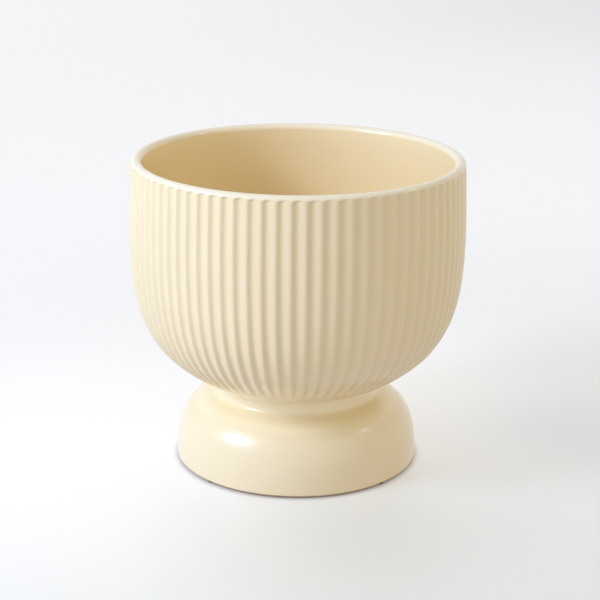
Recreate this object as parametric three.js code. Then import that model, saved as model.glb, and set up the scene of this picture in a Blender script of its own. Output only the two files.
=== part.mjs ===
// A fluted jardiniere that sits in the neck of a round, hollow stand.
// Millimetres, +Z up. The origin is on the floor, at the centre of the stand.
import * as THREE from 'three';
import { mergeVertices } from 'three/addons/utils/BufferGeometryUtils.js';

// Driving dimensions

const gap = 0.3; // between pieces that rest on each other

// Bowl, outside. A reach is the length of a handle that pulls a bend on from its end.
const height = 282; // floor to the top of the rim
const rimRadius = 149; // outside of the rim
const rimSwell = 0.13; // the side stands this much further out where the flutes are full
const rimLean = 2.5; // degrees that the side leans there
const sideReach = 19.4; // of both ends of the bend from the belly up to there
const bellyRadius = 151.2; // widest place, over the crests of the flutes
const bellyZ = 215.5;
const bellyReach = 56.7; // downwards
const haunchRadius = 127; // where the side turns under
const haunchZ = 111.5;
const haunchSlope = 53; // degrees from level
const haunchReachUp = 28.6;
const haunchReachDown = 13.8;
const underRadius = 72; // where the underside meets the neck of the stand
const underZ = 74.7;
const underSlope = 12;
const underReach = 20.4;

// Bowl, inside
const wall = 10.6; // the lip is a full round of this width
const innerLean = 2; // degrees that the inside leans under the lip
const innerSideReach = 20;
const innerBellyReach = 52;
const innerHaunchReachUp = 25;
const innerHaunchReachDown = 15;
const floorZ = 86; // flat floor, for a pot to stand on
const floorRadius = 56;
const floorReach = 27;
const drainRadius = 11;
const recessRadius = 17; // round the drain, so that the stopper lies below the floor
const recessDepth = 3.8;

// Flutes: hollow channels with a crest between each two
const fluteCount = 78;
const fluteDepth = 1.5; // at the belly, less where the flutes are narrower
const fluteTopAngle = 30; // the channels start this many degrees up the round of the lip
const fluteTopRun = 5; // and reach their depth over this height
const fluteEndRadius = 104; // the channels have run out here, under the bowl
const fluteFade = 12; // over this change of radius
const channelPower = 0.6; // below 1 gives a broad channel between sharp crests
const crestWander = 1.2; // degrees that the hand-spaced crests wander to each side
const wanderWaves = 3; // times round the bowl
const wanderStart = 4.5 * 360 / fluteCount; // degrees from the front, towards +X

// Foot ring under the bowl, and the socket in the stand that takes it
const ringOuter = 65;
const ringInner = 53;
const ringZ = 64.2; // lowest face of the foot ring
const ringEdge = 1.5;
const undersideZ = 74.2; // inside the foot ring
const socketRadius = 66.5;
const ledgeZ = 61.5;

// Stand
const neckRadius = 72;
const neckTopZ = 74;
const neckEdge = 0.8;
const neckWall = 66.5; // height at which the neck starts to flare
const neckReach = 3.3;
const shoulderRadius = 80.2;
const shoulderZ = 60;
const shoulderSlope = 13.3;
const shoulderReachIn = 5.5;
const shoulderReachOut = 25.3;
const standRadius = 111.3; // at the foot
const standReach = 30; // upwards
const standZ = 1.6; // the foot face stands this far off the floor, on pads
const footEdge = 1.6;
const footInner = 99;
const footInnerEdge = 1;
const dishRadius = 52; // shallow dish that takes drips from the drain
const dishEdge = 1;
const dishEdgeReach = 4;
const dishZ = 54;
const dishFloorRadius = 40;
const dishFloorReach = 6;
const dishFall = 0.6; // towards the middle
const vaultZ = 45; // top of the hollow under the stand
const vaultFall = 1; // towards the middle
const vaultRadius = 58; // where the roof of the hollow bends down
const vaultReach = 30;
const hollowWallZ = 14; // its side is upright below this
const hollowReach = 28;

// Soft parts
const seatInner = 55;
const seatOuter = 63;
const seatEdge = 0.5;
const padRadius = 4.5;
const padEdge = 0.4;
const padCircle = 105.2;
const padCount = 4;
const padStart = 45; // degrees from +X towards +Y
const plugSlack = 0.4; // between the shaft and the drain hole
const plugTaper = 0.6; // of the shaft, over its height
const plugChamfer = 0.8; // at the end of the shaft
const plugFlange = 15.5;
const plugFlangeHeight = 1.6; // at its edge
const plugHeight = 3.2; // of the domed head
const plugDomeSlope = 15; // where the dome meets the edge
const plugDomeReach = 4;
const plugCrownReach = 6;

// Facets
const roundSegments = 60;
const smallSegments = 30;
const padSegments = 20;
const facetsPerFlute = 3;

// Finishes

const creamGlaze = () => new THREE.MeshStandardMaterial({
  color: 0xeadfc0, roughness: 0.28, metalness: 0,
});
const clearRubber = () => new THREE.MeshStandardMaterial({
  color: 0x9a927f, roughness: 0.6, metalness: 0,
});
const greyRubber = () => new THREE.MeshStandardMaterial({
  color: 0x4a4742, roughness: 0.7, metalness: 0,
});

const radians = THREE.MathUtils.degToRad;
const at = (radius, z) => new THREE.Vector2(radius, z);
const along = (point, angle, length) => at(
  point.x + length * Math.cos(radians(angle)),
  point.y + length * Math.sin(radians(angle)),
);

// A bend from one point to the other. Each handle is a direction in degrees and a length.
function bend(from, fromAngle, fromLength, to, toAngle, toLength, steps) {
  const curve = new THREE.CubicBezierCurve(
    from, along(from, fromAngle, fromLength), along(to, toAngle, toLength), to,
  );
  return curve.getPoints(steps);
}

// A quarter round, or any arc, about a centre.
function arc(centre, radius, startAngle, endAngle, steps) {
  const points = [];
  for (let i = 0; i <= steps; i += 1) {
    points.push(along(centre, startAngle + (endAngle - startAngle) * i / steps, radius));
  }
  return points;
}

// Joins stretches of a profile and drops the points that two stretches share.
function join(...stretches) {
  const points = [];
  for (const point of stretches.flat()) {
    const last = points[points.length - 1];
    if (!last || last.distanceTo(point) > 0.01) {
      points.push(point);
    }
  }
  return points;
}

// Turns a profile about +Z. The profile runs anticlockwise: up the outside, in over the top.
function turn(profile, segments) {
  const geometry = new THREE.LatheGeometry(profile, segments);
  geometry.rotateX(Math.PI / 2);
  return geometry;
}

// Closes a chain of rings, each a list of points round +Z, into a solid like a thick hoop.
// A ring may have a whole number of times as many points as the one beside it.
function hoop(rings) {
  const vertices = [];
  const triangles = [];
  const starts = rings.map((ring) => {
    const start = vertices.length / 3;
    ring.forEach((point) => vertices.push(point.x, point.y, point.z));
    return start;
  });
  rings.forEach((lower, i) => {
    const next = (i + 1) % rings.length;
    const upper = rings[next];
    const count = Math.min(lower.length, upper.length);
    const lowerShare = lower.length / count;
    const upperShare = upper.length / count;
    const lowerAt = (k) => starts[i] + k % lower.length;
    const upperAt = (k) => starts[next] + k % upper.length;
    for (let k = 0; k < count; k += 1) {
      const a = k * lowerShare;
      const b = k * upperShare;
      for (let j = 0; j < lowerShare; j += 1) {
        triangles.push(lowerAt(a + j), lowerAt(a + j + 1), upperAt(b));
      }
      for (let j = 0; j < upperShare; j += 1) {
        triangles.push(lowerAt(a + lowerShare), upperAt(b + j + 1), upperAt(b + j));
      }
    }
  });
  const geometry = new THREE.BufferGeometry();
  geometry.setAttribute('position', new THREE.Float32BufferAttribute(vertices, 3));
  geometry.setIndex(triangles);
  geometry.computeVertexNormals();
  return geometry;
}

// The bowl

const lipRadius = wall / 2;
const lipCentre = at(rimRadius - lipRadius, height - lipRadius);
const belly = at(bellyRadius, bellyZ);
const haunch = at(haunchRadius, haunchZ);
const under = at(underRadius, underZ);
const fluteTopZ = lipCentre.y + lipRadius * Math.sin(radians(fluteTopAngle));

// Underside and side of the bowl from the neck up to the lip, over the crests.
function bowlOutside() {
  const lipEdge = at(rimRadius, lipCentre.y);
  const fullDepth = at(rimRadius + rimSwell, fluteTopZ - fluteTopRun);
  const downSlope = haunchSlope + 180;
  return join(
    bend(under, underSlope, underReach, haunch, downSlope, haunchReachDown, 5),
    bend(haunch, haunchSlope, haunchReachUp, belly, -90, bellyReach, 5),
    bend(belly, 90, sideReach, fullDepth, rimLean - 90, sideReach, 2),
    [lipEdge],
  );
}

// Inside of the bowl from the lip down to the recess round the drain. It follows the outside.
function bowlInside() {
  const innerLip = at(rimRadius - wall, lipCentre.y);
  const innerBelly = at(bellyRadius - wall, bellyZ);
  const innerHaunch = along(haunch, haunchSlope + 90, wall);
  const floorEdge = at(floorRadius, floorZ);
  const downSlope = haunchSlope + 180;
  const recessZ = floorZ - recessDepth;
  return join(
    bend(innerLip, innerLean - 90, innerSideReach, innerBelly, 90, innerSideReach, 2),
    bend(innerBelly, -90, innerBellyReach, innerHaunch, haunchSlope, innerHaunchReachUp, 3),
    bend(innerHaunch, downSlope, innerHaunchReachDown, floorEdge, 0, floorReach, 4),
    [at(recessRadius, floorZ), at(recessRadius, recessZ), at(drainRadius, recessZ)],
  );
}

// Underneath: the drain hole, the face inside the foot ring, the ring and the face over the neck.
function bowlUnderneath() {
  const inner = at(ringInner + ringEdge, ringZ + ringEdge);
  const outer = at(ringOuter - ringEdge, ringZ + ringEdge);
  return join(
    [at(drainRadius, undersideZ), at(ringInner, undersideZ)],
    arc(inner, ringEdge, 180, 270, 2),
    arc(outer, ringEdge, 270, 360, 2),
    [at(ringOuter, undersideZ)],
  );
}

// Where crest number i stands, in degrees from the front of the bowl towards +X.
function crestAngle(i) {
  const even = 360 * i / fluteCount;
  return even + crestWander * Math.sin(wanderWaves * radians(even - wanderStart));
}

// How deep the channels are at a point of the outside, from none to the full depth.
function depthAt(point) {
  const top = THREE.MathUtils.smoothstep(fluteTopZ - point.y, 0, fluteTopRun);
  const end = THREE.MathUtils.smoothstep(point.x - fluteEndRadius, 0, fluteFade);
  return fluteDepth * (point.x / bellyRadius) * top * end;
}

// The share of the depth at a share of the way from one crest to the next.
const channel = (share) => Math.sin(Math.PI * share) ** channelPower;

// One ring of the bowl. A fluted ring has points in the channels, set in along the normal.
// A small plain ring has a point at every second crest only.
function bowlRing(point, normal, depth) {
  const steps = depth > 0 ? facetsPerFlute : 1;
  const stride = point.x > ringOuter ? 1 : 2;
  const ring = [];
  for (let i = 0; i < fluteCount; i += stride) {
    for (let j = 0; j < steps; j += 1) {
      const share = j / steps;
      const angle = radians(THREE.MathUtils.lerp(crestAngle(i), crestAngle(i + 1), share) - 90);
      const inset = depth * (j === 0 ? 0 : channel(share));
      const radius = point.x - inset * normal.x;
      const z = point.y - inset * normal.y;
      ring.push(new THREE.Vector3(radius * Math.cos(angle), radius * Math.sin(angle), z));
    }
  }
  return ring;
}

function bowlGeometry() {
  const outside = bowlOutside();
  const rings = outside.map((point, i) => {
    const before = outside[Math.max(i - 1, 0)];
    const after = outside[Math.min(i + 1, outside.length - 1)];
    const slope = after.clone().sub(before).normalize();
    const normal = at(slope.y, -slope.x);
    return bowlRing(point, normal, depthAt(point));
  });
  const rest = join(
    arc(lipCentre, lipRadius, 0, 180, 6).slice(1),
    bowlInside(),
    bowlUnderneath(),
  );
  rest.forEach((point) => rings.push(bowlRing(point, at(1, 0), 0)));
  return hoop(rings);
}

// The stand is one shell, open underneath, with a neck and a shallow dish on top.

function standGeometry() {
  const vaultEdge = at(vaultRadius, vaultZ);
  const hollowWall = at(footInner, hollowWallZ);
  const side = at(standRadius, standZ + footEdge);
  const shoulder = at(shoulderRadius, shoulderZ);
  const neckFoot = at(neckRadius, neckWall);
  const dishSide = at(dishRadius - dishEdge, ledgeZ - dishEdge);
  const dishFloor = at(dishFloorRadius, dishZ);
  const upSlope = 180 - shoulderSlope;
  const profile = join(
    [at(0, vaultZ - vaultFall)],
    bend(vaultEdge, 0, vaultReach, hollowWall, 90, hollowReach, 5),
    [at(footInner, standZ + footInnerEdge), at(footInner + footInnerEdge, standZ)],
    arc(at(standRadius - footEdge, standZ + footEdge), footEdge, -90, 0, 2),
    bend(side, 90, standReach, shoulder, -shoulderSlope, shoulderReachOut, 8),
    bend(shoulder, upSlope, shoulderReachIn, neckFoot, -90, neckReach, 4),
    arc(at(neckRadius - neckEdge, neckTopZ - neckEdge), neckEdge, 0, 90, 1),
    arc(at(socketRadius + neckEdge, neckTopZ - neckEdge), neckEdge, 90, 180, 1),
    [at(socketRadius, ledgeZ), at(dishRadius, ledgeZ)],
    bend(dishSide, -90, dishEdgeReach, dishFloor, 0, dishFloorReach, 3),
    [at(0, dishZ - dishFall)],
  );
  return turn(profile, roundSegments);
}

// A flat ring between the foot ring of the bowl and the ledge in the neck.

function seatRingGeometry() {
  const low = ledgeZ + gap;
  const high = ringZ - gap;
  const profile = [
    at(seatInner + seatEdge, low), at(seatOuter - seatEdge, low),
    at(seatOuter, low + seatEdge), at(seatOuter, high - seatEdge),
    at(seatOuter - seatEdge, high), at(seatInner + seatEdge, high),
    at(seatInner, high - seatEdge), at(seatInner, low + seatEdge),
    at(seatInner + seatEdge, low),
  ];
  return turn(profile, roundSegments);
}

// A mushroom-shaped stopper, pushed into the drain hole from inside. Its head fills the recess.
function plugGeometry() {
  const shaft = drainRadius - plugSlack;
  const shaftEnd = shaft - plugTaper;
  const headZ = floorZ - recessDepth + gap;
  const edgeRadius = plugFlangeHeight / 2;
  const edge = at(plugFlange - edgeRadius, headZ + edgeRadius);
  const domeEdge = along(edge, 90 - plugDomeSlope, edgeRadius);
  const crown = at(0, headZ + plugHeight);
  const profile = join(
    [at(0, undersideZ), at(shaftEnd - plugChamfer, undersideZ)],
    [at(shaftEnd, undersideZ + plugChamfer), at(shaft, headZ)],
    arc(edge, edgeRadius, -90, 90 - plugDomeSlope, 3),
    bend(domeEdge, 180 - plugDomeSlope, plugDomeReach, crown, 0, plugCrownReach, 3),
  );
  return turn(profile, smallSegments);
}

// A stick-on bumper, low and round, with a rounded edge where it meets the floor.
function padGeometry() {
  const top = standZ - gap;
  const profile = [
    at(0, 0), at(padRadius - padEdge, 0), at(padRadius, padEdge), at(padRadius, top), at(0, top),
  ];
  return turn(profile, padSegments);
}

function piece(name, geometry, material) {
  geometry.deleteAttribute('normal');
  geometry.deleteAttribute('uv');
  const merged = mergeVertices(geometry, 1e-4);
  merged.computeVertexNormals();
  const mesh = new THREE.Mesh(merged, material);
  mesh.name = name;
  return mesh;
}

const jardiniere = new THREE.Group();
jardiniere.add(piece('stand', standGeometry(), creamGlaze()));
jardiniere.add(piece('bowl', bowlGeometry(), creamGlaze()));
jardiniere.add(piece('seat_ring', seatRingGeometry(), clearRubber()));
jardiniere.add(piece('drain_plug', plugGeometry(), greyRubber()));

for (let i = 0; i < padCount; i += 1) {
  const angle = radians(padStart + 360 * i / padCount);
  const pad = piece(`floor_pad_${i + 1}`, padGeometry(), greyRubber());
  pad.position.set(padCircle * Math.cos(angle), padCircle * Math.sin(angle), 0);
  jardiniere.add(pad);
}

export default jardiniere;
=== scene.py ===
import math

import bpy
from mathutils import Matrix, Vector


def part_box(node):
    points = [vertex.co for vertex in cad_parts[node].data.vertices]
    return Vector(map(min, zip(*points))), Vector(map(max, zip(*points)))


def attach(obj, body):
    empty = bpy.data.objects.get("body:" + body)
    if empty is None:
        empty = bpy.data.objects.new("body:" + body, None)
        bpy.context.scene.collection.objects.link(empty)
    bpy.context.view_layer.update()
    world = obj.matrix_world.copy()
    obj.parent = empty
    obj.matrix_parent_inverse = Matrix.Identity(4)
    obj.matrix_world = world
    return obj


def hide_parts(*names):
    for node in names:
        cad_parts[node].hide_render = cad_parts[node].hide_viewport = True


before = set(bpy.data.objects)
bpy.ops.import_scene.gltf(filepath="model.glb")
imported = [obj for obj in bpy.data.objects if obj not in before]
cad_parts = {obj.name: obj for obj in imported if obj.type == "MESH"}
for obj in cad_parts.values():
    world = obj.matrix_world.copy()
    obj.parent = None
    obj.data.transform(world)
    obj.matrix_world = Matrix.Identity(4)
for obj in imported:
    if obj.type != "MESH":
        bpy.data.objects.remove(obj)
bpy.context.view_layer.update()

mm = 0.001


# Node helpers: a socket given as an input is linked, anything else is its value
def addNode(tree, kind, inputs=None, **settings):
    node = tree.nodes.new(kind)
    for name, value in settings.items():
        setattr(node, name, value)
    for key, value in (inputs or {}).items():
        if isinstance(value, bpy.types.NodeSocket):
            tree.links.new(value, node.inputs[key])
        else:
            node.inputs[key].default_value = value
    return node


def maths(tree, operation, *values, **settings):
    return addNode(tree, "ShaderNodeMath", dict(enumerate(values)), operation=operation,
                   **settings).outputs[0]


def vectorMaths(tree, operation, *values, result="Vector"):
    return addNode(tree, "ShaderNodeVectorMath", dict(enumerate(values)),
                   operation=operation).outputs[result]


def ranged(tree, value, fromMin, fromMax, toMin=0.0, toMax=1.0, **settings):
    return addNode(tree, "ShaderNodeMapRange",
                   {"Value": value, "From Min": fromMin, "From Max": fromMax,
                    "To Min": toMin, "To Max": toMax}, **settings).outputs[0]


def blended(tree, amount, first, second):
    return addNode(tree, "ShaderNodeMixRGB",
                   {"Fac": amount, "Color1": first, "Color2": second}).outputs[0]


def noise(tree, where, size, detail):
    return addNode(tree, "ShaderNodeTexNoise",
                   {"Vector": where, "Scale": 1 / size, "Detail": detail}).outputs["Fac"]


def bumped(tree, height, strength, distance):
    return addNode(tree, "ShaderNodeBump",
                   {"Height": height, "Strength": strength, "Distance": distance}).outputs[0]


def attribute(tree, name):
    return addNode(tree, "ShaderNodeAttribute", attribute_name=name).outputs["Fac"]


def newMaterial(name):
    material = bpy.data.materials.new(name)
    material.use_nodes = True
    material.node_tree.nodes.clear()
    return material


def linearColour(hexColour):
    channels = [int(hexColour[i:i + 2], 16) / 255 for i in (1, 3, 5)]
    return [c / 12.92 if c <= 0.04045 else ((c + 0.055) / 1.055) ** 2.4 for c in channels] + [1]


def addObject(name, data):
    made = bpy.data.objects.new(name, data)
    bpy.context.scene.collection.objects.link(made)
    return made


# The camera stands in front and a little to the right, and looks down on the rim
view = {
    "across": 2.5 * mm,
    "back": 1380.6 * mm,
    "height": 595.1 * mm,
    "downTilt": 17.97,
    "roll": 0.48,
    "lens": 95.2,
    "sensor": 36,
}


def makeCamera():
    data = bpy.data.cameras.new("photoCamera")
    data.lens = view["lens"]
    data.sensor_width = view["sensor"]
    camera = addObject("photoCamera", data)
    place = Matrix.Translation((view["across"], -view["back"], view["height"]))
    tilt = Matrix.Rotation(math.radians(90 - view["downTilt"]), 4, "X")
    roll = Matrix.Rotation(math.radians(view["roll"]), 4, "Z")
    camera.matrix_world = place @ tilt @ roll
    bpy.context.scene.camera = camera


makeCamera()
print("camera set")


# Profiles are lists of (radius, height), in metres, anticlockwise: up the outside, in over the top
def along(point, angle, length):
    turn = math.radians(angle)
    return point[0] + length * math.cos(turn), point[1] + length * math.sin(turn)


def bend(start, startAngle, end, endAngle, pulls, steps):
    # both angles point into the curve, and the pulls say how far it keeps to each
    points = [start, along(start, startAngle, pulls[0]), along(end, endAngle, pulls[1]), end]
    curve = []
    for i in range(steps + 1):
        t = i / steps
        shares = [(1 - t) ** 3, 3 * (1 - t) ** 2 * t, 3 * (1 - t) * t ** 2, t ** 3]
        curve.append(tuple(sum(s * p[axis] for s, p in zip(shares, points)) for axis in (0, 1)))
    return curve


def arc(centre, radius, startAngle, endAngle, steps=3):
    return [along(centre, startAngle + (endAngle - startAngle) * i / steps, radius)
            for i in range(steps + 1)]


def straight(start, end, steps):
    return [(start[0] + (end[0] - start[0]) * i / steps, start[1] + (end[1] - start[1]) * i / steps)
            for i in range(steps + 1)]


def joined(*stretches, nearest=0.01 * mm):
    points = []
    for stretch in stretches:
        for point in stretch:
            if not points or math.dist(points[-1], point) > nearest:
                points.append(point)
    return points


def outwards(points, i):
    # square to the profile, pointing out of the clay
    before, after = points[max(i - 1, 0)], points[min(i + 1, len(points) - 1)]
    run, rise = after[0] - before[0], after[1] - before[1]
    length = math.hypot(run, rise)
    return rise / length, 0, -run / length


# What the tree is given besides a profile: the kind of socket, and its value on a plain piece
turningInputs = {
    "Columns": ("NodeSocketInt", 3),
    "Flutes": ("NodeSocketInt", 1),
    "Crowding": ("NodeSocketFloat", 0.0),
    "Wall Share": ("NodeSocketFloat", 0.5),
    "Crest Wander": ("NodeSocketFloat", 0.0),
    "Wander Waves": ("NodeSocketFloat", 1.0),
    "Wander Start": ("NodeSocketFloat", 0.0),
    "Crest Turn": ("NodeSocketFloat", 0.0),
    "Arch Height": ("NodeSocketFloat", 0.0),
    "Arch Run": ("NodeSocketFloat", mm),
    "Material": ("NodeSocketMaterial", None),
}
weldDistance = 0.002 * mm


# The tree turns a profile about +Z, and hollows channels into the rows that carry a cut
def buildTurningTree():
    tree = bpy.data.node_groups.new("turnedProfile", "GeometryNodeTree")
    socket = tree.interface.new_socket
    socket("Profile", in_out="INPUT", socket_type="NodeSocketGeometry")
    for name, (kind, _) in turningInputs.items():
        socket(name, in_out="INPUT", socket_type=kind)
    socket("Mesh", in_out="OUTPUT", socket_type="NodeSocketGeometry")
    given = addNode(tree, "NodeGroupInput").outputs

    # one grid point for each column and each profile row
    rows = addNode(tree, "GeometryNodeAttributeDomainSize", {"Geometry": given["Profile"]})
    rowCount = rows.outputs["Point Count"]
    seamed = addNode(tree, "FunctionNodeIntegerMath", {0: given["Columns"], 1: 1}, operation="ADD")
    grid = addNode(tree, "GeometryNodeMeshGrid",
                   {"Vertices X": seamed.outputs[0], "Vertices Y": rowCount})
    index = addNode(tree, "GeometryNodeInputIndex").outputs[0]
    column, row = (addNode(tree, "FunctionNodeIntegerMath", {0: index, 1: rowCount},
                           operation=operation).outputs[0]
                   for operation in ("DIVIDE_FLOOR", "MODULO"))

    def onRow(value, kind):
        return addNode(tree, "GeometryNodeSampleIndex",
                       {"Geometry": given["Profile"], "Value": value, "Index": row},
                       data_type=kind).outputs[0]

    place = onRow(addNode(tree, "GeometryNodeInputPosition").outputs[0], "FLOAT_VECTOR")
    sampled = {}
    for name, kind in (("outwards", "FLOAT_VECTOR"), ("cut", "FLOAT"), ("below", "FLOAT"),
                       ("inside", "FLOAT")):
        named = addNode(tree, "GeometryNodeInputNamedAttribute", {"Name": name}, data_type=kind)
        sampled[name] = onRow(named.outputs[0], kind)

    # columns crowd towards the crests, which also wander a little from their even spacing
    share = maths(tree, "DIVIDE", column, given["Columns"])
    spaced = maths(tree, "MULTIPLY", share, given["Flutes"])
    pull = maths(tree, "SINE", maths(tree, "MULTIPLY", spaced, math.tau))
    crowding = maths(tree, "DIVIDE", given["Crowding"], -math.tau)
    beat = maths(tree, "MULTIPLY_ADD", pull, crowding, spaced)
    turns = maths(tree, "DIVIDE", beat, given["Flutes"])
    even = maths(tree, "MULTIPLY", turns, math.tau)
    phase = maths(tree, "SUBTRACT", even, given["Wander Start"])
    swing = maths(tree, "SINE", maths(tree, "MULTIPLY", phase, given["Wander Waves"]))
    angle = maths(tree, "MULTIPLY_ADD", swing, given["Crest Wander"], even)

    # across a channel: a short steep wall down from the crest, then a long easy rise
    across = maths(tree, "FRACT", beat)
    falling = maths(tree, "DIVIDE", across, maths(tree, "MULTIPLY", given["Wall Share"], 2))
    rising = ranged(tree, across, given["Wall Share"], 1.0, toMin=0.5, clamp=False)
    way = maths(tree, "MINIMUM", falling, rising)
    wave = maths(tree, "SINE", maths(tree, "MULTIPLY", way, math.pi))
    shaped = maths(tree, "MULTIPLY", wave, wave)

    # each channel starts in a round arch under the lip
    centred = maths(tree, "MULTIPLY_ADD", across, 2, -1)
    squared = maths(tree, "MULTIPLY", centred, centred)
    arch = maths(tree, "SQRT", maths(tree, "SUBTRACT", 1, squared, use_clamp=True))
    late = maths(tree, "MULTIPLY", maths(tree, "SUBTRACT", 1, arch), given["Arch Height"])
    into = maths(tree, "SUBTRACT", sampled["below"], late)
    ramp = ranged(tree, into, 0.0, given["Arch Run"], interpolation_type="SMOOTHSTEP")
    channel = maths(tree, "MULTIPLY", shaped, ramp)
    depth = maths(tree, "MULTIPLY", channel, sampled["cut"])

    # sink each point by that depth, and turn it to its column, with the first one in front
    inwards = maths(tree, "MULTIPLY", depth, -1)
    offset = addNode(tree, "ShaderNodeVectorMath", {0: sampled["outwards"], "Scale": inwards},
                     operation="SCALE")
    sunk = vectorMaths(tree, "ADD", place, offset.outputs[0])
    front = maths(tree, "SUBTRACT", given["Crest Turn"], math.pi / 2)
    turned = addNode(tree, "ShaderNodeVectorRotate",
                     {"Vector": sunk, "Angle": maths(tree, "ADD", angle, front)},
                     rotation_type="Z_AXIS")
    mesh = addNode(tree, "GeometryNodeSetPosition",
                   {"Geometry": grid.outputs["Mesh"], "Position": turned.outputs[0]})
    for name, value in (("channelDepth", depth), ("inside", sampled["inside"])):
        mesh = addNode(tree, "GeometryNodeStoreNamedAttribute",
                       {"Geometry": mesh.outputs[0], "Name": name, "Value": value},
                       data_type="FLOAT", domain="POINT")
    merged = addNode(tree, "GeometryNodeMergeByDistance",
                     {"Geometry": mesh.outputs[0], "Distance": weldDistance})
    smooth = addNode(tree, "GeometryNodeSetShadeSmooth", {"Geometry": merged.outputs[0]})
    painted = addNode(tree, "GeometryNodeSetMaterial",
                      {"Geometry": smooth.outputs[0], "Material": given["Material"]})
    addNode(tree, "NodeGroupOutput", {"Mesh": painted.outputs[0]})
    return tree


turningTree = buildTurningTree()


def turnPiece(name, profile, material, columns, rows=None, flutes=None, centre=(0, 0)):
    mesh = bpy.data.meshes.new(name + "Profile")
    mesh.from_pydata([(r, 0, z) for r, z in profile],
                     [(i, i + 1) for i in range(len(profile) - 1)], [])
    normals = [part for i in range(len(profile)) for part in outwards(profile, i)]
    mesh.attributes.new("outwards", "FLOAT_VECTOR", "POINT").data.foreach_set("vector", normals)
    plainRows = {row: [0.0] * len(profile) for row in ("cut", "below", "inside")}
    for row, values in {**plainRows, **(rows or {})}.items():
        mesh.attributes.new(row, "FLOAT", "POINT").data.foreach_set("value", values)
    source = addObject(name + "Profile", mesh)
    modifier = source.modifiers.new("turn", "NODES")
    modifier.node_group = turningTree
    sizes = {given: plain for given, (_, plain) in turningInputs.items()}
    sizes.update(flutes or {}, Columns=columns, Material=material)
    for item in turningTree.interface.items_tree:
        if item.in_out == "INPUT" and item.name in sizes:
            modifier[item.identifier] = sizes[item.name]
    graph = bpy.context.evaluated_depsgraph_get()
    solid = bpy.data.meshes.new_from_object(source.evaluated_get(graph), depsgraph=graph)
    bpy.data.objects.remove(source)
    solid.transform(Matrix.Translation((*centre, 0)))
    solid.name = name
    return addObject(name, solid)


# Glazed stoneware: a thick, smooth, cream glaze, poured inside and out and fired to a soft shine
glaze = {
    "cream": "#F0DCB8",
    # deeper tone, used for glaze pooled in the channels and for painted shade
    "pooledAndShaded": "#E6CE9E",
    # the inside copy of the cream is warmer: painted light and shade for the light inside the bowl
    "inside": "#F4DDB0",
    "index": 1.5,
    "poolAndShadeDepth": 1.5 * mm,
    "poolAndShadeShare": 0.35,
    "cloud": 45 * mm,
    "cloudRange": (0.35, 0.65),
    "cloudShare": 0.12,
    "ripple": 7 * mm,
    "rippleRange": (0.3, 0.7),
    "rippleBump": 0.10,
    "rippleHeight": 0.25 * mm,
    "roughnessSpread": 0.03,
    "line": 3.2 * mm,
    "lineWander": 1.5 * mm,
    "lineFade": 0.3 * mm,
    "clay": "#CDB48C",
    "clayRoughness": 0.85,
    "grain": 0.5 * mm,
    "grainBump": 0.4,
    "grainHeight": 0.2 * mm,
}

# On the bowl: painted light makes the lip paler, and painted shade deepens a band low above the
# foot ring
satin = {
    "roughness": 0.5,
    "coatRoughness": 0.12,
    "paleLit": "#F3E5CC",
    "paleLitBand": (277 * mm, 281 * mm),
    "shadeBand": (90 * mm, 74 * mm),
    "shadeMost": 0.8,
}

# On the stand: painted light makes the shoulder paler, and no painted shade band is used
gloss = {
    "roughness": 0.4,
    "coatRoughness": 0.22,
    "paleLit": "#FBEBC6",
    "paleLitBand": (50 * mm, 58 * mm),
    "shadeBand": (4 * mm, 0),
    "shadeMost": 0.0,
}


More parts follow.
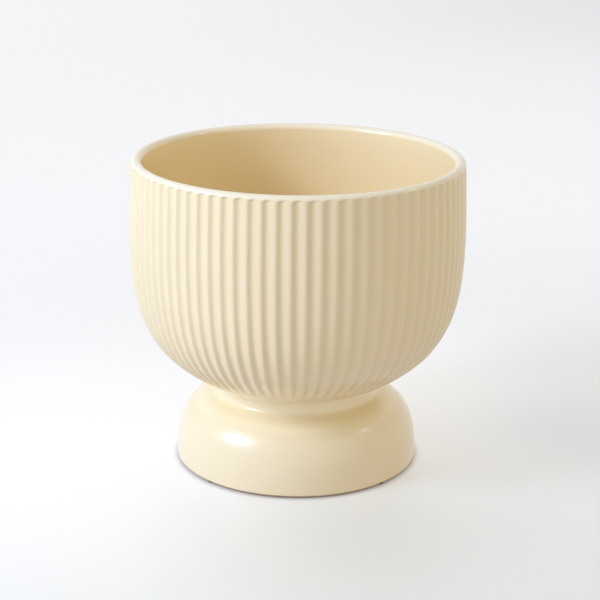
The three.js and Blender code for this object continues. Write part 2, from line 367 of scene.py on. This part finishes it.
def makeGlaze(name, coat):
    # the eye sees a warm cream skin: deeper in the channels, partly pooled glaze and partly painted
    # shade; deeper in a painted shade band low on the bowl; paler over lip and shoulder as painted
    # light
    material = newMaterial(name)
    tree = material.node_tree
    where = addNode(tree, "ShaderNodeTexCoord").outputs["Object"]
    height = addNode(tree, "ShaderNodeSeparateXYZ", {"Vector": where}).outputs["Z"]
    cloud = noise(tree, where, glaze["cloud"], 2)
    ripple = noise(tree, where, glaze["ripple"], 1)
    grain = noise(tree, where, glaze["grain"], 2)

    # channels deepen in colour with their depth: partly glaze pooled in them, partly painted shade
    # in the hollows
    poolAndShade = ranged(tree, attribute(tree, "channelDepth"), 0.0, glaze["poolAndShadeDepth"],
                     toMax=glaze["poolAndShadeShare"])
    clouded = ranged(tree, cloud, *glaze["cloudRange"], toMax=glaze["cloudShare"])
    # painted shade: a deeper band low on the bowl, over the neck of the stand
    shadedLow = ranged(tree, height, *coat["shadeBand"], toMax=coat["shadeMost"])
    patchy = maths(tree, "ADD", poolAndShade, clouded)
    amount = maths(tree, "ADD", patchy, shadedLow, use_clamp=True)
    outer = blended(tree, amount, linearColour(glaze["cream"]), linearColour(glaze["pooledAndShaded"]))
    # the inside takes its own copy of the cream, set for the light inside the bowl: painted light
    # and shade
    insideLitAndShaded = blended(tree, attribute(tree, "inside"), outer, linearColour(glaze["inside"]))
    # painted light: paler where the lip and the shoulder catch the lamps
    paleLit = ranged(tree, height, *coat["paleLitBand"], interpolation_type="SMOOTHSTEP")
    colour = blended(tree, paleLit, insideLitAndShaded, linearColour(coat["paleLit"]))
    roughness = ranged(tree, ripple, *glaze["rippleRange"],
                       toMin=coat["roughness"] - glaze["roughnessSpread"],
                       toMax=coat["roughness"] + glaze["roughnessSpread"])
    skin = addNode(tree, "ShaderNodeBsdfPrincipled",
                   {"Base Color": colour, "Roughness": roughness, "IOR": glaze["index"],
                    "Normal": bumped(tree, ripple, glaze["rippleBump"], glaze["rippleHeight"]),
                    "Coat Weight": 1.0, "Coat Roughness": coat["coatRoughness"],
                    "Coat IOR": glaze["index"]})

    # below the glaze line the fired clay is bare, matt and a little sandy
    wavy = maths(tree, "MULTIPLY_ADD", cloud, glaze["lineWander"], height)
    bare = ranged(tree, wavy, glaze["line"], glaze["line"] + glaze["lineFade"],
                  toMin=1.0, toMax=0.0)
    clay = addNode(tree, "ShaderNodeBsdfPrincipled",
                   {"Base Color": linearColour(glaze["clay"]), "Roughness": glaze["clayRoughness"],
                    "Normal": bumped(tree, grain, glaze["grainBump"], glaze["grainHeight"])})
    mixed = addNode(tree, "ShaderNodeMixShader",
                    {"Fac": bare, 1: skin.outputs[0], 2: clay.outputs[0]})
    addNode(tree, "ShaderNodeOutputMaterial", {"Surface": mixed.outputs[0]})
    return material


# Moulded rubber: a pale silicone for the seat, a dark nitrile for the stopper and the pads
silicone = {"colour": "#B9B3A4", "roughness": 0.5, "grain": 1.2 * mm}
nitrile = {"colour": "#4A4742", "roughness": 0.65, "grain": 0.8 * mm}
mould = {"index": 1.45, "darkest": 0.8, "bump": 0.3, "height": 0.1 * mm}


def makeRubber(name, rubber):
    # the eye sees a dull and even skin, with a faint grain from the mould
    material = newMaterial(name)
    tree = material.node_tree
    where = addNode(tree, "ShaderNodeTexCoord").outputs["Object"]
    grain = noise(tree, where, rubber["grain"], 3)
    colour = linearColour(rubber["colour"])
    dark = [channel * mould["darkest"] for channel in colour[:3]] + [1]
    skin = addNode(tree, "ShaderNodeBsdfPrincipled",
                   {"Base Color": blended(tree, grain, colour, dark), "IOR": mould["index"],
                    "Roughness": rubber["roughness"],
                    "Normal": bumped(tree, grain, mould["bump"], mould["height"])})
    addNode(tree, "ShaderNodeOutputMaterial", {"Surface": skin.outputs[0]})
    return material


# The bowl: flutes run from under the lip to a smooth band above the neck
bowlLow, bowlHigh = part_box("bowl")
bowl = {
    "top": bowlHigh.z,
    "rimRadius": 149 * mm,
    "wall": 10.6 * mm,
    "lipFlare": 0.13 * mm,
    "lipFoot": 274.35 * mm,
    "lipSlope": -87.5,
    "lipTurn": 60,
    "rimPulls": (19.4 * mm, 19.4 * mm),
    "bellyRadius": min(bowlHigh.x, bowlHigh.y, -bowlLow.x, -bowlLow.y),
    "bellyHeight": 215.5 * mm,
    "bellyPulls": (28.6 * mm, 56.7 * mm),
    "haunch": (127 * mm, 111.5 * mm),
    "haunchSlope": 53,
    "haunchPulls": (20.4 * mm, 13.8 * mm),
    "under": (72 * mm, 74.7 * mm),
    "underSlope": 12,
    "innerLipSlope": -88,
    "innerRimPulls": (20 * mm, 20 * mm),
    "innerBellyPulls": (52 * mm, 25 * mm),
    "innerFloorPulls": (15 * mm, 27 * mm),
    "floor": 86 * mm,
    "floorRadius": 56 * mm,
    "drainRadius": 11 * mm,
    "recessRadius": 17 * mm,
    "recessDepth": 3.8 * mm,
    "recessEdge": 0.6 * mm,
    "ringOuter": 65 * mm,
    "ringInner": 53 * mm,
    "ringBottom": bowlLow.z,
    "underside": 74.2 * mm,
    "edge": 1.5 * mm,
    "liningRows": (5, 14),
    "flutes": 78,
    "pointsPerFlute": 9,
    "crowding": 0.3,
    "depth": 1.55 * mm,
    "fluteTop": 279.6 * mm,
    "fluteEnd": 104 * mm,
    "fade": 10 * mm,
    "wallShare": 0.34,
    "wander": 1.2,
    "wanderWaves": 3,
    "wanderStart": 4.5,
    "crestTurn": -0.95,
    "archHeight": 4 * mm,
    "archRun": 2 * mm,
}


def smoothStep(value, low, high):
    share = min(max((value - low) / (high - low), 0), 1)
    return share * share * (3 - 2 * share)


def bowlProfile():
    rim, wall, slope = bowl["rimRadius"], bowl["wall"], bowl["haunchSlope"]
    lipRound, lipTurn = wall / 2, bowl["lipTurn"]
    lip = (rim - lipRound, bowl["top"] - lipRound)
    lipFoot = (rim + bowl["lipFlare"], bowl["lipFoot"])
    belly, haunch = (bowl["bellyRadius"], bowl["bellyHeight"]), bowl["haunch"]
    outside = joined(
        bend(bowl["under"], bowl["underSlope"], haunch, slope + 180, bowl["haunchPulls"], steps=24),
        bend(haunch, slope, belly, -90, bowl["bellyPulls"], steps=16),
        bend(belly, 90, lipFoot, bowl["lipSlope"], bowl["rimPulls"], steps=10),
        straight(lipFoot, (rim, lip[1]), steps=5),
        arc(lip, lipRound, 0, lipTurn, steps=12),
    )

    innerLip = (rim - wall, lip[1])
    innerBelly = (belly[0] - wall, belly[1])
    innerHaunch = along(haunch, slope + 90, wall)
    floor, floorEdge = bowl["floor"], (bowl["floorRadius"], bowl["floor"])
    drain, recess, small = bowl["drainRadius"], bowl["recessRadius"], bowl["recessEdge"]
    recessFloor = floor - bowl["recessDepth"]
    edge, underside, ringBottom = bowl["edge"], bowl["underside"], bowl["ringBottom"]
    ringInner, ringOuter = bowl["ringInner"], bowl["ringOuter"]
    inside = joined(
        arc(lip, lipRound, lipTurn, 180, steps=10),
        bend(innerLip, bowl["innerLipSlope"], innerBelly, 90, bowl["innerRimPulls"], steps=5),
        bend(innerBelly, -90, innerHaunch, slope, bowl["innerBellyPulls"], steps=9),
        bend(innerHaunch, slope + 180, floorEdge, 0, bowl["innerFloorPulls"], steps=9),
        straight(floorEdge, (recess + small, floor), steps=2),
        arc((recess + small, floor - small), small, 90, 180),
        arc((recess - small, recessFloor + small), small, 0, -90),
        straight((recess - small, recessFloor), (drain + small, recessFloor), steps=2),
        arc((drain + small, recessFloor - small), small, 90, 180),
        arc((drain + edge, underside + edge), edge, 180, 270),
        straight((drain + edge, underside), (ringInner - edge, underside), steps=2),
        arc((ringInner - edge, underside - edge), edge, 90, 0),
        arc((ringInner + edge, ringBottom + edge), edge, 180, 270),
        arc((ringOuter - edge, ringBottom + edge), edge, 270, 360),
        arc((ringOuter + edge, underside - edge), edge, 180, 90),
    )
    return outside, joined(outside, inside, outside[:1])


def makeBowl(material):
    outside, profile = bowlProfile()
    liningStart, liningFull = (len(outside) + row for row in bowl["liningRows"])
    rows = {
        "cut": [0.0] * len(profile),
        "below": [0.0] * len(profile),
        "inside": [smoothStep(i, liningStart, liningFull) for i in range(len(profile))],
    }
    for i, (radius, height) in enumerate(outside):
        end = smoothStep(radius, bowl["fluteEnd"], bowl["fluteEnd"] + bowl["fade"])
        rows["cut"][i] = bowl["depth"] * end
        rows["below"][i] = bowl["fluteTop"] - height
    flutes = {
        "Flutes": bowl["flutes"],
        "Crowding": bowl["crowding"],
        "Wall Share": bowl["wallShare"],
        "Crest Wander": math.radians(bowl["wander"]),
        "Wander Waves": float(bowl["wanderWaves"]),
        "Wander Start": bowl["wanderStart"] * math.tau / bowl["flutes"],
        "Crest Turn": math.radians(bowl["crestTurn"]),
        "Arch Height": bowl["archHeight"],
        "Arch Run": bowl["archRun"],
    }
    columns = bowl["flutes"] * bowl["pointsPerFlute"]
    return turnPiece("flutedBowl", profile, material, columns, rows, flutes)


# The stand: one hollow shell with a round shoulder, a short neck and a drip dish on top
standLow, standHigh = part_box("stand")
stand = {
    "radius": min(standHigh.x, standHigh.y, -standLow.x, -standLow.y),
    "foot": standLow.z,
    "footEdge": 1.6 * mm,
    "footInner": 99 * mm,
    "footInnerEdge": 1.5 * mm,
    "hollowFoot": 14 * mm,
    "hollowTop": ((0, 44 * mm), (20 * mm, 44.2 * mm), (58 * mm, 45 * mm)),
    "hollowPulls": (30 * mm, 28 * mm),
    "shoulder": (80.2 * mm, 60 * mm),
    "shoulderSlope": 13.3,
    "shoulderPulls": (30 * mm, 25.3 * mm),
    "neckRadius": 72 * mm,
    "neckTop": standHigh.z,
    "neckFoot": 66.5 * mm,
    "neckPulls": (5.5 * mm, 3.3 * mm),
    "neckEdge": 0.8 * mm,
    "socketRadius": 66.5 * mm,
    "ledge": 61.5 * mm,
    "ledgeEdge": 1 * mm,
    "dishRadius": 52 * mm,
    "dishFloor": ((40 * mm, 54 * mm), (20 * mm, 53.6 * mm), (0, 53.4 * mm)),
    "dishPulls": (4 * mm, 6 * mm),
    "columns": 240,
}


def makeStand(material):
    radius, foot, footEdge = stand["radius"], stand["foot"], stand["footEdge"]
    footInner, innerEdge = stand["footInner"], stand["footInnerEdge"]
    hollowTop, hollowFoot = stand["hollowTop"], (footInner, stand["hollowFoot"])
    shoulder, slope = stand["shoulder"], stand["shoulderSlope"]
    neck, neckTop, neckEdge = stand["neckRadius"], stand["neckTop"], stand["neckEdge"]
    neckFoot, socket = (neck, stand["neckFoot"]), stand["socketRadius"]
    ledge, ledgeEdge, dish = stand["ledge"], stand["ledgeEdge"], stand["dishRadius"]
    dishTop, dishFloor = (dish - ledgeEdge, ledge - ledgeEdge), stand["dishFloor"]
    profile = joined(
        hollowTop,
        bend(hollowTop[-1], 0, hollowFoot, 90, stand["hollowPulls"], steps=18),
        straight(hollowFoot, (footInner, foot + innerEdge), steps=3),
        arc((footInner + innerEdge, foot + innerEdge), innerEdge, 180, 270, steps=4),
        arc((radius - footEdge, foot + footEdge), footEdge, -90, 0, steps=6),
        bend((radius, foot + footEdge), 90, shoulder, -slope, stand["shoulderPulls"], steps=36),
        bend(shoulder, 180 - slope, neckFoot, -90, stand["neckPulls"], steps=14),
        arc((neck - neckEdge, neckTop - neckEdge), neckEdge, 0, 90, steps=5),
        arc((socket + neckEdge, neckTop - neckEdge), neckEdge, 90, 180, steps=5),
        arc((socket - ledgeEdge, ledge + ledgeEdge), ledgeEdge, 0, -90, steps=4),
        arc((dish, ledge - ledgeEdge), ledgeEdge, 90, 180, steps=4),
        bend(dishTop, -90, dishFloor[0], 0, stand["dishPulls"], steps=8),
        dishFloor,
    )
    return turnPiece("roundStand", profile, material, stand["columns"])


# The seat: a flat ring in the socket of the stand
seat = {
    "inner": 55 * mm,
    "outer": 63 * mm,
    "edge": 0.6 * mm,
    "columns": 160,
}


def makeSeatRing(material):
    low, high = (corner.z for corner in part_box("seat_ring"))
    edge = seat["edge"]
    inner, outer = seat["inner"] + edge, seat["outer"] - edge
    profile = joined(
        arc((inner, low + edge), edge, 180, 270, steps=4),
        arc((outer, low + edge), edge, 270, 360, steps=4),
        arc((outer, high - edge), edge, 0, 90, steps=4),
        arc((inner, high - edge), edge, 90, 180, steps=4),
        [(inner - edge, low + edge)],
    )
    return turnPiece("seatRing", profile, material, seat["columns"])


# The drain stopper: a shaft in the drain hole, and a low domed head in the recess
stopper = {
    "tipFlat": 4 * mm,
    "tipInset": 2 * mm,
    "tipEdge": 1.2 * mm,
    "tipTurn": -20,
    "shaft": 10.6 * mm,
    "head": 15.5 * mm,
    "headEdge": 0.8 * mm,
    "headTurn": 75,
    "headGap": 0.3 * mm,
    "crownInset": 1 * mm,
    "crownPulls": (4 * mm, 6 * mm),
    "columns": 96,
}


def makeDrainPlug(material):
    low, high = (corner.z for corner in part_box("drain_plug"))
    shaft, tipEdge, turn = stopper["shaft"], stopper["tipEdge"], stopper["headTurn"]
    head, edge = stopper["head"], stopper["headEdge"]
    headBottom = bowl["floor"] - bowl["recessDepth"] + stopper["headGap"]
    crown = (head - stopper["crownInset"], headBottom + 2 * edge)
    profile = joined(
        [(0, low), (stopper["tipFlat"], low)],
        arc((shaft - stopper["tipInset"], low + tipEdge), tipEdge, -90, stopper["tipTurn"],
            steps=4),
        [(shaft, headBottom)],
        arc((head - edge, headBottom + edge), edge, -90, turn, steps=8),
        bend(crown, turn + 90, (0, high), 0, stopper["crownPulls"], steps=10),
    )
    return turnPiece("drainStopper", profile, material, stopper["columns"])


# The floor pads: low round discs under the foot of the stand
pad = {
    "radius": 4.5 * mm,
    "edge": 0.4 * mm,
    "topEdge": 0.2 * mm,
    "columns": 40,
}


def makeFloorPad(node, material):
    low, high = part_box(node)
    radius, edge, topEdge = pad["radius"], pad["edge"], pad["topEdge"]
    profile = joined(
        [(0, low.z)],
        arc((radius - edge, low.z + edge), edge, -90, 0, steps=4),
        arc((radius - topEdge, high.z - topEdge), topEdge, 0, 90),
        [(0, high.z)],
    )
    centre = ((low.x + high.x) / 2, (low.y + high.y) / 2)
    name = node.replace("floor_pad_", "floorPad")
    return turnPiece(name, profile, material, pad["columns"], centre=centre)


satinGlaze = makeGlaze("satinCreamGlazeFired", satin)
glossGlaze = makeGlaze("glossCreamGlazeFired", gloss)
paleRubber = makeRubber("siliconeRubberMoulded", silicone)
darkRubber = makeRubber("nitrileRubberMoulded", nitrile)
print("materials made")

pieces = [
    (makeBowl(satinGlaze), "bowl", "bowl", "bowl_glaze"),
    (makeStand(glossGlaze), "stand", "stand", "stand_glaze"),
    (makeSeatRing(paleRubber), "seat", "seat_ring", "seat_rubber"),
    (makeDrainPlug(darkRubber), "plug", "drain_plug", "plug_rubber"),
]
for number in range(1, 5):
    node = f"floor_pad_{number}"
    pieces.append((makeFloorPad(node, darkRubber), "stand", node, "pad_rubber"))
for piece, body, node, slotName in pieces:
    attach(piece, body)
    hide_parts(node)
print("pieces made:", len(pieces))


# Studio: a pale table top, a wide soft lamp on the left, a small one on the right, pale walls
studio = {
    "tableHalf": 12,
    "tablePaint": "#A7A7A6",
    "tableIndex": 1.5,
    "tableBounce": (0.21, 0.17, 0.14),
    "tableSheen": 0.4,
    # painted light on the table: brighter at the back, falling off towards the front
    "tableFar": (0.53, 0.53, 0.56),
    "tableNear": (0.39, 0.39, 0.395),
    "tableReach": (-0.4, 1.0),
    # painted pools of light on the table, and painted shadows where the colour is below zero
    "tableLightAndShade": (
        {"place": (-0.22, -0.06, 0), "reach": 0.34, "colour": (0.17, 0.17, 0.17)},
        {"place": (0.10, 0.20, 0), "reach": 0.17, "colour": (0.09, 0.09, 0.09)},
        {"place": (0.06, -0.16, 0), "reach": 0.13, "colour": (-0.09, -0.105, -0.135)},
        {"place": (0.26, 0.06, 0), "reach": 0.08, "colour": (-0.05, -0.04, -0.02)},
        {"place": (1.20, 3.20, 0), "reach": 1.20, "colour": (-0.14, -0.14, -0.14)},
    ),
    "contact": 6 * mm,
    "contactSamples": 8,
    "contactShadowTone": (0.10, 0.06, 0.04),
    "skyLow": 0.62,
    "skyHigh": 0.25,
    "skyBand": (0.15, 0.7),
    "skySeen": 0.90,
    "glows": (
        {"azimuth": -60, "height": 8, "tight": 6, "colour": (0.84, 1.01, 1.38)},
        {"azimuth": 85, "height": 30, "tight": 4, "colour": (0.42, 0.34, 0.03)},
        {"azimuth": 180, "height": 20, "tight": 4, "colour": (0.53, 0.45, 0.32)},
        {"azimuth": 0, "height": 10, "tight": 4, "colour": (0.27, 0.27, 0.25)},
    ),
    "lampAim": (0, 0, 0.1),
    "lamps": (
        {"name": "keyLamp", "azimuth": -67, "height": 34, "distance": 2.0, "width": 0.6,
         "power": 20, "colour": (0.90, 1.12, 1.42)},
        {"name": "sideLamp", "azimuth": 95, "height": 43, "distance": 1.6, "width": 0.09,
         "power": 0.6, "colour": (1.0, 1.0, 1.0)},
    ),
}


def towards(azimuth, height):
    # azimuth in degrees from the front, towards +X
    a, e = math.radians(azimuth), math.radians(height)
    return Vector((math.sin(a) * math.cos(e), -math.cos(a) * math.cos(e), math.sin(e)))


def makeLamp(lamp):
    data = bpy.data.lights.new(lamp["name"], "AREA")
    data.shape = "SQUARE"
    data.size = lamp["width"]
    data.energy = lamp["power"]
    data.color = lamp["colour"]
    made = addObject(lamp["name"], data)
    away = towards(lamp["azimuth"], lamp["height"])
    made.location = Vector(studio["lampAim"]) + away * lamp["distance"]
    made.rotation_euler = away.to_track_quat("Z", "Y").to_euler()


def seenDirectly(tree):
    # one for what the eye sees, itself or in a reflection, and zero for the light on the piece
    path = addNode(tree, "ShaderNodeLightPath").outputs
    looked = maths(tree, "MAXIMUM", path["Is Camera Ray"], path["Is Glossy Ray"])
    return maths(tree, "MAXIMUM", looked, path["Is Transmission Ray"])


def makeTablePaint():
    # satin paint, sprayed and left smooth: the eye sees a pale top with blurred reflections, with
    # painted light and painted shadows in its seen colour
    material = newMaterial("satinPaintedTableTop")
    tree = material.node_tree
    where = addNode(tree, "ShaderNodeTexCoord").outputs["Object"]
    depth = addNode(tree, "ShaderNodeSeparateXYZ", {"Vector": where}).outputs["Y"]
    away = ranged(tree, depth, *studio["tableReach"], interpolation_type="SMOOTHSTEP")
    lit = blended(tree, away, [*studio["tableNear"], 1], [*studio["tableFar"], 1])
    for patch in studio["tableLightAndShade"]:
        apart = vectorMaths(tree, "DISTANCE", where, patch["place"], result="Value")
        share = maths(tree, "DIVIDE", apart, patch["reach"])
        squared = maths(tree, "MULTIPLY", share, share)
        falling = maths(tree, "EXPONENT", maths(tree, "MULTIPLY", squared, -1))
        lit = vectorMaths(tree, "MULTIPLY_ADD", falling, patch["colour"], lit)
    # painted contact shadow: darker and browner in the narrow gap under the foot
    gap = addNode(tree, "ShaderNodeAmbientOcclusion", {"Distance": studio["contact"]},
                  samples=studio["contactSamples"])
    contactShadowTone = blended(tree, gap.outputs["AO"], [*studio["contactShadowTone"], 1], (1, 1, 1, 1))
    grounded = vectorMaths(tree, "MULTIPLY", lit, contactShadowTone)
    # the table looks white to the eye and in reflections, and lights the piece from below less
    shown = blended(tree, seenDirectly(tree), [*studio["tableBounce"], 1], grounded)
    paint = addNode(tree, "ShaderNodeBsdfPrincipled",
                    {"Base Color": linearColour(studio["tablePaint"]),
                     "Roughness": studio["tableSheen"], "IOR": studio["tableIndex"]})
    glow = addNode(tree, "ShaderNodeEmission", {"Color": shown, "Strength": 1.0})
    both = addNode(tree, "ShaderNodeAddShader", {0: paint.outputs[0], 1: glow.outputs[0]})
    addNode(tree, "ShaderNodeOutputMaterial", {"Surface": both.outputs[0]})
    return material


def makeTable():
    mesh = bpy.data.meshes.new("floor")
    half = studio["tableHalf"]
    mesh.from_pydata([(-half, -half, 0), (half, -half, 0), (half, half, 0), (-half, half, 0)],
                     [], [(0, 1, 2, 3)])
    mesh.materials.append(makeTablePaint())
    addObject("floor", mesh)


def makeWorld():
    world = bpy.data.worlds.new("studio")
    bpy.context.scene.world = world
    world.use_nodes = True
    tree = world.node_tree
    tree.nodes.clear()
    looking = addNode(tree, "ShaderNodeTexCoord").outputs["Generated"]
    up = addNode(tree, "ShaderNodeSeparateXYZ", {"Vector": looking}).outputs["Z"]
    light = ranged(tree, up, *studio["skyBand"], toMin=studio["skyLow"], toMax=studio["skyHigh"],
                   interpolation_type="SMOOTHSTEP")
    for lobe in studio["glows"]:
        facing = vectorMaths(tree, "DOT_PRODUCT", looking,
                             towards(lobe["azimuth"], lobe["height"]), result="Value")
        power = maths(tree, "MULTIPLY_ADD", facing, lobe["tight"], -lobe["tight"])
        share = maths(tree, "EXPONENT", power)
        light = vectorMaths(tree, "MULTIPLY_ADD", share, lobe["colour"], light)
    colour = blended(tree, seenDirectly(tree), light, [studio["skySeen"]] * 3 + [1])
    sky = addNode(tree, "ShaderNodeBackground", {"Color": colour, "Strength": 1.0})
    addNode(tree, "ShaderNodeOutputWorld", {"Surface": sky.outputs[0]})


for lamp in studio["lamps"]:
    makeLamp(lamp)
makeTable()
makeWorld()
bpy.context.scene.view_settings.view_transform = "Standard"
print("studio made")
